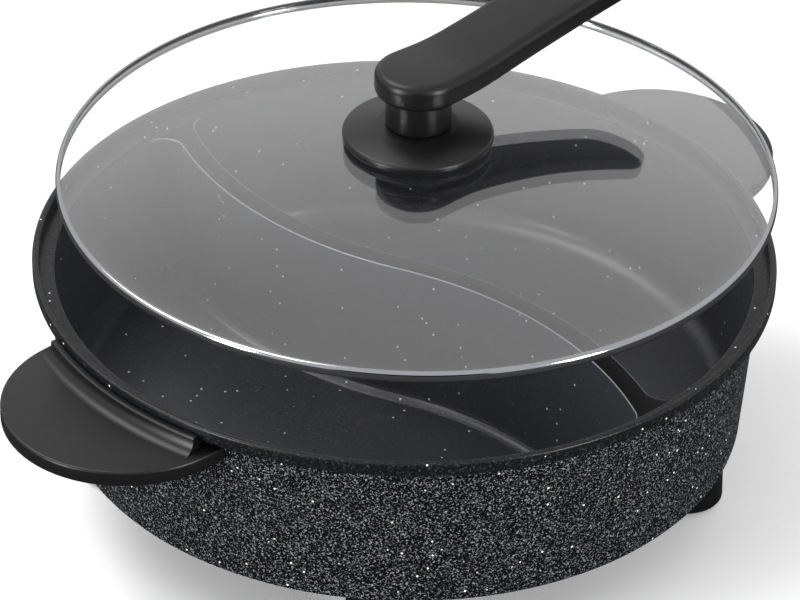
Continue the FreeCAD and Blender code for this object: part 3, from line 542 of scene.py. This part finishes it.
@dataclass
class PotCasting:
    """The cast pot: a drafted bowl with a stepped rim and an S-shaped dividing wall.

    Lengths are in millimetres. The draft is the wall's slope, and the bead's angle is in degrees.
    """

    base: float = 45
    floor: float = 49
    rim_top: float = 124
    rim_band: float = 6
    rim_radius: float = 160
    seat_radius: float = 157
    seat: float = 118.5
    shoulder: float = 115.5
    inner_top: float = 150.3
    outer_top: float = 153.3
    draft: float = math.tan(math.radians(4))
    divider_top: float = 116
    divider_bow: float = 17.5
    divider_blend: float = 9
    divider_root_thickness: float = 10.6
    divider_top_thickness: float = 9.4
    divider_root: float = 47
    floor_fillet: float = 5
    lug_reach: float = 162.1
    lug_level: float = 108.5
    lug_size: tuple[float, float, float] = (22.4, 44, 3)
    rib_centre: tuple[float, float, float] = (0, 86.5, 39.5)
    rib_size: tuple[float, float, float] = (15, 45, 11)
    bead_inner: float = 84
    bead_outer: float = 104
    bead_bottom: float = 36
    bead_top: float = 45.5
    bead_angle: float = 306
    coats: list[Coat | Finish] = field(default_factory=lambda: [
        Coat.WALL, Coat.RIM, Coat.INSIDE, Coat.DIVIDER_TOP, Finish.FOOT_RING_PAINTED_HIGHLIGHT,
        Coat.DIVIDER_EDGE_PAINTED_HIGHLIGHT])

    def inner_radius(self, level: float) -> float:
        """Return the radius of the inner wall at a height."""
        return self.inner_top - self.draft * (self.seat - level)

    def bowl(self) -> bmesh.types.BMesh:
        """Turn the bowl, and give each of its faces the coat of its place."""
        outer_base = self.outer_top - self.draft * (self.shoulder - self.base)
        shape = turn_profile([
            (0, self.base),
            (outer_base, self.base),
            (self.outer_top, self.shoulder),
            (self.rim_radius, self.rim_top - self.rim_band),
            (self.rim_radius, self.rim_top),
            (self.seat_radius, self.rim_top),
            (self.seat_radius, self.seat),
            (self.inner_top, self.seat),
            (self.inner_radius(self.floor), self.floor),
            (0, self.floor),
        ], {1: 3.5, 3: 1, 4: 1, 5: 1, 7: 1, 8: 10}, steps=320)
        # Faces take the coat of their place; the foot ring takes the bright metal strip of a painted
        # highlight
        for face in shape.faces:
            spot = face.calc_center_median() / MM
            radius = math.hypot(spot.x, spot.y)
            if spot.z > self.shoulder + 0.2:
                face.material_index = 1
            elif radius < self.inner_radius(spot.z) + 0.3 and spot.z > self.floor - 0.1:
                face.material_index = 2
            elif spot.z < self.base + 1.1 and radius > outer_base - 3.6:
                face.material_index = 4
        return shape

    def plan(self, half: float, wall_radius: float) -> list[Spot]:
        """Draw the dividing wall's plan at one level.

        Args:
            half: Half the wall's thickness at that level.
            wall_radius: The bowl's inner radius at that level.

        Returns:
            The closed outline: an S of two arcs that flares into the bowl at both ends.
        """
        blend = self.divider_blend
        bend = (self.inner_top ** 2 / 4 + self.divider_bow ** 2) / (2 * self.divider_bow)
        upper = (bend - self.divider_bow, self.inner_top / 2)
        unit = (upper[0] / bend, upper[1] / bend)
        orbit = wall_radius - blend

        def flare(side_radius: float, distance: float) -> tuple[Spot, Spot, Spot]:
            """Return a fillet's centre, its end on the divider and its end on the bowl."""
            along = (orbit ** 2 - distance ** 2 + bend ** 2) / (2 * bend)
            across = math.sqrt(orbit ** 2 - along ** 2)
            centre = (along * unit[0] - across * unit[1], along * unit[1] + across * unit[0])
            share = side_radius / distance
            side = tuple(upper[i] + (centre[i] - upper[i]) * share for i in (0, 1))
            return centre, side, tuple(part * wall_radius / orbit for part in centre)

        def over(spot: Spot) -> Spot:
            """Return the point on the other side of the axis."""
            return (-spot[0], -spot[1])

        left_centre, left_side, left_wall = flare(bend + half, bend + half + blend)
        right_centre, right_side, right_wall = flare(bend - half, bend - half - blend)
        middle = (half * unit[0], half * unit[1])
        outward = (wall_radius + 1.2) / wall_radius
        half_plan = [
            (left_wall[0] * outward, left_wall[1] * outward),
            left_wall,
            *arc(left_centre, left_wall, left_side, 8),
            *arc(upper, left_side, over(middle), 28),
            *arc(over(upper), over(middle), over(right_side), 28),
            *arc(over(right_centre), over(right_side), over(right_wall), 8),
            (-right_wall[0] * outward, -right_wall[1] * outward),
        ]
        return half_plan + [over(spot) for spot in half_plan]

    def divider(self) -> bmesh.types.BMesh:
        """Raise the dividing wall level by level, with a fillet where it leaves the floor."""
        fillet_levels = [
            self.floor + self.floor_fillet * (1 - math.cos(math.radians(angle)))
            for angle in (0, 15, 30, 45, 60, 75, 90)]
        levels = [self.divider_root, *fillet_levels, 70, 93, self.divider_top]
        shape = bmesh.new()
        order = shape.verts.layers.int.new("order")
        cap: list[bmesh.types.BMFace] = []
        for level in levels:
            share = (level - self.divider_root) / (self.divider_top - self.divider_root)
            thickness = (self.divider_root_thickness * (1 - share)
                         + self.divider_top_thickness * share)
            above = max(self.floor + self.floor_fillet - max(level, self.floor), 0)
            half = thickness / 2 + self.floor_fillet - math.sqrt(self.floor_fillet ** 2 - above ** 2)
            spots = self.plan(half, self.inner_radius(max(level, self.floor)))
            if not cap:
                ring = [shape.verts.new((x * MM, y * MM, level * MM)) for x, y in spots]
                for number, vert in enumerate(ring):
                    vert[order] = number
                cap = [
                    shape.faces.new(
                        (ring[number], ring[number + 1], ring[-number - 2], ring[-number - 1]))
                    for number in range(len(ring) // 2 - 1)]
                continue
            raised = bmesh.ops.extrude_face_region(shape, geom=cap)
            cap = [item for item in raised["geom"] if isinstance(item, bmesh.types.BMFace)]
            for vert in {vert for face in cap for vert in face.verts}:
                x, y = spots[vert[order]]
                vert.co = (x * MM, y * MM, level * MM)
        bmesh.ops.recalc_face_normals(shape, faces=shape.faces)
        soften(shape, 0.6, 3, 60, self.divider_top)
        # The rounded top edges take the light grey coat, a painted highlight
        for side in shape.faces:
            high = side.calc_center_median().z > (self.divider_top - 0.7) * MM
            side.material_index = (3 if side.normal.z > 0.999 else 5) if high else 2
        return shape

    def under_floor(self) -> bmesh.types.BMesh:
        """Make what is cast under the floor: the handle lugs, the element's bead and the rib."""
        blocks = []
        for way in (-1, 1):
            blocks.append(block((way * self.lug_reach, 0, self.lug_level), self.lug_size))
        blocks.append(block(self.rib_centre, self.rib_size))
        bead = turn_profile([
            (self.bead_inner, self.bead_bottom),
            (self.bead_outer, self.bead_bottom),
            (self.bead_outer, self.bead_top),
            (self.bead_inner, self.bead_top),
        ], None, 120, math.radians(self.bead_angle))
        bmesh.ops.rotate(bead, verts=bead.verts, cent=(0, 0, 0),
                         matrix=Matrix.Rotation(math.radians(-90), 3, "Z"))
        return join([*blocks, bead])

    def build(self) -> None:
        """Make the casting."""
        shape = join([self.bowl(), self.divider(), self.under_floor()])
        finish_piece("pot_casting", shape, self.coats, ["pot_body"], "pot")


def block(centre: tuple[float, float, float], size: tuple[float, float, float]) -> bmesh.types.BMesh:
    """Make a block.

    Args:
        centre: Its middle, in millimetres.
        size: Its length along X, Y and Z, in millimetres.

    Returns:
        The block.
    """
    shape = bmesh.new()
    bmesh.ops.create_cube(shape, size=1.0)
    bmesh.ops.scale(shape, verts=shape.verts, vec=Vector(size) * MM)
    bmesh.ops.translate(shape, verts=shape.verts, vec=Vector(centre) * MM)
    return shape


class Side(Enum):
    """The two sides that carry a handle, with the turn that brings it there."""

    RIGHT = 0
    LEFT = 180


@dataclass
class SideHandle:
    """A moulded handle: an oval plate and a collar that hugs the rim in a concave sweep."""

    side: Side
    reach: float = 206
    half_width: float = 52
    top: float = 114
    thickness: float = 7
    wall_clearance: float = 153.6
    collar_inner: float = 160.3
    collar_outer: float = 163.5
    collar_top: float = 120.5
    collar_blend: float = 5.5
    collar_angle: float = 33

    def plate(self) -> bmesh.types.BMesh:
        """Make the plate, hollowed where it meets the round wall."""
        nose = self.reach - self.half_width
        root = (math.sqrt(self.wall_clearance ** 2 - self.half_width ** 2), self.half_width)
        low_root = (root[0], -root[1])
        middle = (self.wall_clearance, 0.0)
        outline = [
            low_root,
            (nose, -self.half_width),
            *arc((nose, 0), (nose, -self.half_width), (self.reach, 0), 32),
            *arc((nose, 0), (self.reach, 0), (nose, self.half_width), 32),
            root,
            *arc((0, 0), root, middle, 16),
            *arc((0, 0), middle, low_root, 16)[:-1],
        ]
        shape = raise_outline(outline, self.top - self.thickness, self.thickness)
        soften(shape, 1.2, 4)
        return shape

    def collar(self) -> bmesh.types.BMesh:
        """Turn the collar, with the hollow sweep between it and the plate."""
        blend_end = (self.collar_outer + self.collar_blend, self.top)
        blend_centre = (blend_end[0], self.top + self.collar_blend)
        blend_start = (self.collar_outer, blend_centre[1])
        shape = turn_profile([
            (self.wall_clearance, self.top - 0.8),
            (self.wall_clearance, 115.2),
            (self.collar_inner, 117.7),
            (self.collar_inner, self.collar_top),
            (self.collar_outer, self.collar_top),
            blend_start,
            *arc(blend_centre, blend_start, blend_end, 10),
            (blend_end[0], self.top - 0.8),
        ], {3: 0.5, 4: 0.8}, 36, math.radians(self.collar_angle))
        return shape

    def build(self) -> None:
        """Make the handle."""
        shape = join([self.plate(), self.collar()])
        bmesh.ops.rotate(
            shape, verts=shape.verts, cent=(0, 0, 0),
            matrix=Matrix.Rotation(math.radians(self.side.value), 3, "Z"))
        node = f"handle_{self.side.name.lower()}"
        finish_piece(node + "_moulding", shape, [Finish.PHENOLIC], [node], "pot")


@dataclass
class Feet:
    """Four tapered feet, each screwed to a boss under the floor."""

    inset_circle: float = 126.37
    corners: tuple[str, ...] = ("back_right", "back_left", "front_left", "front_right")

    def build(self) -> None:
        """Make the feet."""
        for number, corner in enumerate(self.corners):
            shape = turn_profile([
                (2.8, 25.2), (6.0, 25.2), (6.0, 4.0), (13.3, 4.0), (13.3, 1.5),
                (17.4, 1.5), (15.8, 45.0), (6.3, 45.0), (6.3, 36.7), (2.8, 36.7),
            ], {5: 1.5}, 64)
            angle = math.radians(45 + 90 * number)
            centre = Vector((math.cos(angle), math.sin(angle), 0)) * self.inset_circle * MM
            bmesh.ops.translate(shape, verts=shape.verts, vec=centre)
            finish_piece(
                f"foot_{corner}_moulding", shape, [Finish.PHENOLIC], [f"foot_{corner}"],
                "pot")


@dataclass
class Lid:
    """The lid: a domed pane in a rolled steel ring, with a steam vent."""

    bottom: float = 159
    ring_radius: float = 153.6
    ring_height: float = 4.8
    ring_lip: float = 2
    sheet: float = 0.5
    pane_bottom: float = 159.8
    pane_edge: float = 152.8
    pane_bend: float = 149
    pane_thickness: float = 3.2
    crown: float = 17.4
    hole: float = 4
    vent_circle: float = 93
    vent_azimuth: float = 23

    @property
    def dome_radius(self) -> float:
        """Return the radius of the pane's dome."""
        return (self.pane_bend ** 2 + self.crown ** 2) / (2 * self.crown)

    def dome_line(self, height: float) -> list[Spot]:
        """Return a dome's profile from its edge to its hole, lowered by a height."""
        centre = self.pane_bottom + self.pane_thickness + self.crown - self.dome_radius - height
        steps = 28
        radii = [self.pane_bend + (self.hole - self.pane_bend) * step / steps
                 for step in range(steps + 1)]
        return [(radius, centre + math.sqrt(self.dome_radius ** 2 - radius ** 2))
                for radius in radii]

    def ring(self) -> None:
        """Make the rolled ring."""
        top = self.bottom + self.ring_height
        bore = self.ring_radius - self.ring_lip
        inside = self.ring_radius - self.sheet
        shape = turn_profile([
            (bore, self.bottom), (self.ring_radius, self.bottom), (self.ring_radius, top),
            (bore, top), (bore, top - self.sheet), (inside, top - self.sheet),
            (inside, self.bottom + self.sheet), (bore, self.bottom + self.sheet),
        ], {1: 1.6, 2: 1.6, 5: 1.1, 6: 1.1}, 320)
        finish_piece("lid_ring_rolled", shape, [Finish.BUFFED_STEEL], ["lid_ring"], "lid")

    def pane(self) -> None:
        """Make the domed pane."""
        pane_top = self.pane_bottom + self.pane_thickness
        shape = turn_profile([
            *reversed(self.dome_line(self.pane_thickness)),
            (self.pane_edge, self.pane_bottom),
            (self.pane_edge, pane_top),
            *self.dome_line(0),
        ], None, 192)
        finish_piece("lid_pane", shape, [Finish.GLASS], ["lid_glass"], "lid")

    def vent(self) -> None:
        """Make the vent: a riveted eyelet that stands square to the dome."""
        shape = turn_profile([
            (2.4, -0.7), (6, -0.7), (6, -0.1), (3.7, -0.1), (3.7, 3.3), (6, 3.3), (6, 3.9), (2.4, 3.9),
        ], {1: 0.25, 6: 0.25, 7: 0.5}, 48)
        lean = math.asin(self.vent_circle / self.dome_radius)
        centre = self.pane_bottom + self.pane_thickness + self.crown - self.dome_radius
        level = centre + math.sqrt(self.dome_radius ** 2 - self.vent_circle ** 2)
        place = (
            Matrix.Rotation(math.radians(self.vent_azimuth), 4, "Z")
            @ Matrix.Translation(Vector((self.vent_circle, 0, level - self.pane_thickness)) * MM)
            @ Matrix.Rotation(lean, 4, "Y"))
        bmesh.ops.transform(shape, matrix=place, verts=shape.verts)
        finish_piece("steam_vent_eyelet", shape, [Finish.BUFFED_STEEL], ["steam_vent"], "lid")

    def build(self) -> None:
        """Make the lid's three pieces."""
        self.ring()
        self.pane()
        self.vent()


@dataclass
class LidGrip:
    """The grip on the lid: a saucer-shaped disc, a short neck and a long waisted arm."""

    disc_level: float = 180.5
    disc_top: float = 187.5
    neck_top: float = 202.6
    bore: float = 2.8
    seal_radius: float = 20.6
    seal_top: float = 182.1
    disc_radius: float = 32.2
    disc_edge_top: float = 183.9
    disc_shoulder: float = 17
    neck_radius: float = 14
    neck_groove: float = 0.8
    end_radius: float = 19
    waist: float = 17.2
    span: float = 135.5
    thickness: float = 11.8
    level_run: float = 10
    bend: float = 120
    rise: float = 9

    def disc(self) -> None:
        """Make the disc that covers the pane's hole."""
        shape = turn_profile([
            (self.bore, self.seal_top),
            (self.seal_radius, self.seal_top),
            (self.seal_radius, self.disc_level),
            (self.disc_radius, self.disc_level),
            (self.disc_radius, self.disc_edge_top),
            (self.disc_shoulder, self.disc_top),
            (self.bore, self.disc_top),
        ], {3: 1, 4: 1.6, 5: 1}, 128)
        finish_piece("grip_disc", shape, [Finish.PHENOLIC], ["knob_disc"], "lid")

    def neck(self) -> None:
        """Make the neck between the disc and the arm."""
        shape = turn_profile([
            (self.bore, self.disc_top),
            (self.neck_radius - self.neck_groove, self.disc_top),
            (self.neck_radius, self.disc_top + self.neck_groove),
            (self.neck_radius, self.neck_top),
            (self.bore, self.neck_top),
        ], {2: 0.4}, 96)
        finish_piece("grip_neck", shape, [Finish.PHENOLIC], ["knob_neck"], "lid")

    def lift(self, run: float) -> float:
        """Return how far the arm's underside has risen at a distance from the neck's axis."""
        past = max(run - self.level_run, 0)
        turn = self.bend * math.sin(math.radians(self.rise))
        if past <= turn:
            return self.bend - math.sqrt(self.bend ** 2 - past ** 2)
        straight = (past - turn) * math.tan(math.radians(self.rise))
        return self.bend * (1 - math.cos(math.radians(self.rise))) + straight

    def arm(self) -> None:
        """Make the arm: a waisted bar with full round ends, bent up past the neck."""
        end, span = self.end_radius, self.span
        hollow = (span ** 2 / 4 + self.waist ** 2 - end ** 2) / (2 * (end - self.waist))
        waist = (span / 2, hollow + self.waist)
        share = end / (hollow + end)
        join_x, join_y = waist[0] * share, waist[1] * share
        spots = [
            *arc((0, 0), (join_x, join_y), (-end, 0), 20),
            *arc((0, 0), (-end, 0), (join_x, -join_y), 20),
            *arc((waist[0], -waist[1]), (join_x, -join_y), (span - join_x, -join_y), 40),
            *arc((span, 0), (span - join_x, -join_y), (span + end, 0), 20),
            *arc((span, 0), (span + end, 0), (span - join_x, join_y), 20),
            *arc(waist, (span - join_x, join_y), (join_x, join_y), 40),
        ]
        shape = raise_outline(spots, self.neck_top, self.thickness)
        soften(shape, 4, 6, 50, self.neck_top + self.thickness)
        soften(shape, 3, 5, 50, self.neck_top)
        cuts = 48
        for number in range(1, cuts):
            run = (-end + (span + 2 * end) * number / cuts) * MM
            bmesh.ops.bisect_plane(
                shape, geom=shape.verts[:] + shape.edges[:] + shape.faces[:], dist=0.001 * MM,
                plane_co=(run, 0, 0), plane_no=(1, 0, 0))
        for vert in shape.verts:
            vert.co.z += self.lift(vert.co.x / MM) * MM
        finish_piece("grip_arm", shape, [Finish.PHENOLIC], ["knob_arm"], "lid")

    def build(self) -> None:
        """Make the grip's three pieces."""
        self.disc()
        self.neck()
        self.arm()


@dataclass
class SmallParts:
    """The parts that keep their CAD shape and get a finish."""

    finishes: dict[str, tuple[Finish, str]] = field(default_factory=lambda: {
        "foot_pads": (Finish.SILICONE, "rubber"),
        "foot_screws": (Finish.PLAIN_STEEL, "steel"),
        "handle_screws_right": (Finish.PLAIN_STEEL, "steel"),
        "handle_screws_left": (Finish.PLAIN_STEEL, "steel"),
        "heating_element": (Finish.OXIDISED_STEEL, "steel"),
        "element_cover": (Finish.PLAIN_STEEL, "steel"),
        "cover_screws": (Finish.PLAIN_STEEL, "steel"),
        "inlet_housing": (Finish.PHENOLIC, "black_plastic"),
        "inlet_screws": (Finish.PLAIN_STEEL, "steel"),
        "pin_insulators": (Finish.STEATITE, "ceramic"),
        "inlet_pins": (Finish.BUFFED_STEEL, "steel"),
        "probe_sleeve": (Finish.PLAIN_STEEL, "steel"),
        "knob_seal": (Finish.SILICONE, "rubber"),
        "inner_washer": (Finish.PLAIN_STEEL, "steel"),
        "knob_screw": (Finish.PLAIN_STEEL, "steel"),
    })

    def build(self) -> None:
        """Dress the CAD nodes."""
        for name, (finish, slot) in self.finishes.items():
            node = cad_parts[name]
            node.data.materials.clear()
            node.data.materials.append(material_of(finish))
            LOG.info("%s: dressed in %s", name, finish.value.name)


@dataclass
class Studio:
    """A pale floor, soft lamps, a white surround and the camera."""

    picture_width: float = 800
    picture_centre: Spot = (400, 300)
    focal_pixels: float = 4414.39
    rim_centre_pixel: Spot = (404.765, 248.011)
    camera_place: tuple[float, float, float] = (-1.0827, -1.1733, 1.1543)
    rim_centre: tuple[float, float, float] = (0, 0, 0.124)
    roll: float = 0.0232
    sensor: float = 36
    surround: float = 0.8
    floor_colour: str = "#f7f7f7"
    # Floor colour seen only in gloss: a painted reflection
    painted_reflection_floor_colour: str = "#3c3c3c"

    def floor(self) -> None:
        """Lay a plain pale floor, which shows dark grey in the object's gloss: a painted reflection.
        """
        shape = bmesh.new()
        bmesh.ops.create_grid(shape, x_segments=1, y_segments=1, size=6)
        mesh = bpy.data.meshes.new("studio_floor")
        shape.to_mesh(mesh)
        shape.free()
        material, tree = new_tree("studio_floor")
        path = add_node(tree, "ShaderNodeLightPath")
        colour = add_node(
            tree, "ShaderNodeMix",
            {6: linear(self.floor_colour), 7: linear(self.painted_reflection_floor_colour)},
            {0: path.outputs["Is Glossy Ray"]}, data_type="RGBA")
        close_tree(tree, {"Roughness": 0.9}, {"Base Color": colour.outputs[2]})
        mesh.materials.append(material)
        floor = bpy.data.objects.new("studio_floor", mesh)
        floor.location.z = -0.0002
        bpy.context.scene.collection.objects.link(floor)

    def world(self) -> None:
        """Light the room softly, and show it white to the camera, metal and glass."""
        world = bpy.data.worlds.new("studio_surround")
        bpy.context.scene.world = world
        world.use_nodes = True
        tree = world.node_tree
        tree.nodes.clear()
        path = add_node(tree, "ShaderNodeLightPath")
        shown = add_node(
            tree, "ShaderNodeMath", links={0: path.outputs["Is Camera Ray"],
                                           1: path.outputs["Is Glossy Ray"]}, operation="MAXIMUM")
        seen = add_node(
            tree, "ShaderNodeMath", links={0: shown.outputs[0],
                                           1: path.outputs["Is Transmission Ray"]},
            operation="MAXIMUM")
        strength = add_node(
            tree, "ShaderNodeMapRange", {"To Min": self.surround, "To Max": 1.0},
            {"Value": seen.outputs[0]})
        light = add_node(
            tree, "ShaderNodeBackground", {"Color": (1, 1, 1, 1)},
            {"Strength": strength.outputs[0]})
        add_node(tree, "ShaderNodeOutputWorld", links={"Surface": light.outputs[0]})

    def lamp(self, name: str, place: Vector, width: float, height: float, power: float) -> None:
        """Hang a soft lamp that faces the pot.

        Args:
            name: The lamp's name.
            place: Where it hangs.
            width: Its width.
            height: Its height.
            power: Its power in watts.
        """
        data = bpy.data.lights.new(name, "AREA")
        data.shape = "RECTANGLE"
        data.size = width
        data.size_y = height
        data.energy = power
        lamp = bpy.data.objects.new(name, data)
        lamp.location = place
        lamp.rotation_mode = "QUATERNION"
        lamp.rotation_quaternion = (Vector(self.rim_centre) - place).to_track_quat("-Z", "Y")
        bpy.context.scene.collection.objects.link(lamp)

    def lamps(self) -> None:
        """Hang the lamps: one high behind on the left and one low at each side."""
        ahead = Vector((0.678, 0.735, 0))
        right = Vector((0.735, -0.678, 0))
        up = Vector((0, 0, 1))
        self.lamp("key_lamp", ahead * 0.5 - right * 1.1 + up * 2.2, 1.4, 1.4, 34)
        self.lamp("left_lamp", -right * 1.6 - ahead * 1.2 + up * 0.6, 0.4, 1.2, 34)
        self.lamp("right_lamp", right * 1.5 - ahead * 1.3 + up * 0.7, 0.4, 1.2, 30)

    def card(self) -> None:
        """Stand a black card low behind the camera, which only gloss and metal show: a painted dark
        reflection.
        """
        shape = bmesh.new()
        bmesh.ops.create_grid(shape, x_segments=1, y_segments=1, size=0.5)
        bmesh.ops.scale(shape, verts=shape.verts, vec=(1.5, 1.1, 1))
        mesh = bpy.data.meshes.new("studio_painted_reflection_card")
        shape.to_mesh(mesh)
        shape.free()
        material, tree = new_tree("studio_painted_reflection_card")
        close_tree(tree, {"Base Color": linear("#050505"), "Roughness": 1.0})
        mesh.materials.append(material)
        card = bpy.data.objects.new("studio_painted_reflection_card", mesh)
        card.location = Vector((-0.678, -0.735, 0)) * 1.9 + Vector((0, 0, 0.35))
        card.rotation_mode = "QUATERNION"
        card.rotation_quaternion = Vector((0.678, 0.735, 0)).to_track_quat("Z", "Y")
        card.visible_camera = card.visible_diffuse = card.visible_shadow = False
        bpy.context.scene.collection.objects.link(card)

    def camera(self) -> None:
        """Set the camera at the fitted place, so that the rim lands on its pixels."""
        place = Vector(self.camera_place)
        ahead = (Vector(self.rim_centre) - place).normalized()
        level_right = ahead.cross(Vector((0, 0, 1))).normalized()
        level_up = level_right.cross(ahead)
        right = level_right * math.cos(self.roll) + level_up * math.sin(self.roll)
        up = level_up * math.cos(self.roll) - level_right * math.sin(self.roll)
        across = self.rim_centre_pixel[0] - self.picture_centre[0]
        above = self.picture_centre[1] - self.rim_centre_pixel[1]
        seen = (right * across + up * above + ahead * self.focal_pixels).normalized()
        turn = seen.rotation_difference(ahead)
        axes = Matrix((turn @ right, turn @ up, turn @ -ahead)).transposed()
        data = bpy.data.cameras.new("camera")
        data.sensor_width = self.sensor
        data.lens = self.focal_pixels * self.sensor / self.picture_width
        data.clip_start, data.clip_end = 0.05, 50
        camera = bpy.data.objects.new("camera", data)
        camera.matrix_world = Matrix.Translation(place) @ axes.to_4x4()
        bpy.context.scene.collection.objects.link(camera)
        bpy.context.scene.camera = camera

    def build(self) -> None:
        """Set up the studio."""
        self.floor()
        self.world()
        self.lamps()
        self.card()
        self.camera()
        bpy.context.scene.view_settings.view_transform = "Standard"


def main() -> None:
    """Build every sub-assembly in order, then the studio."""
    logging.basicConfig(level=logging.INFO, format="%(message)s")
    PotCasting().build()
    for side in Side:
        SideHandle(side).build()
    Feet().build()
    Lid().build()
    LidGrip().build()
    SmallParts().build()
    Studio().build()


if __name__ == "__main__":
    main()
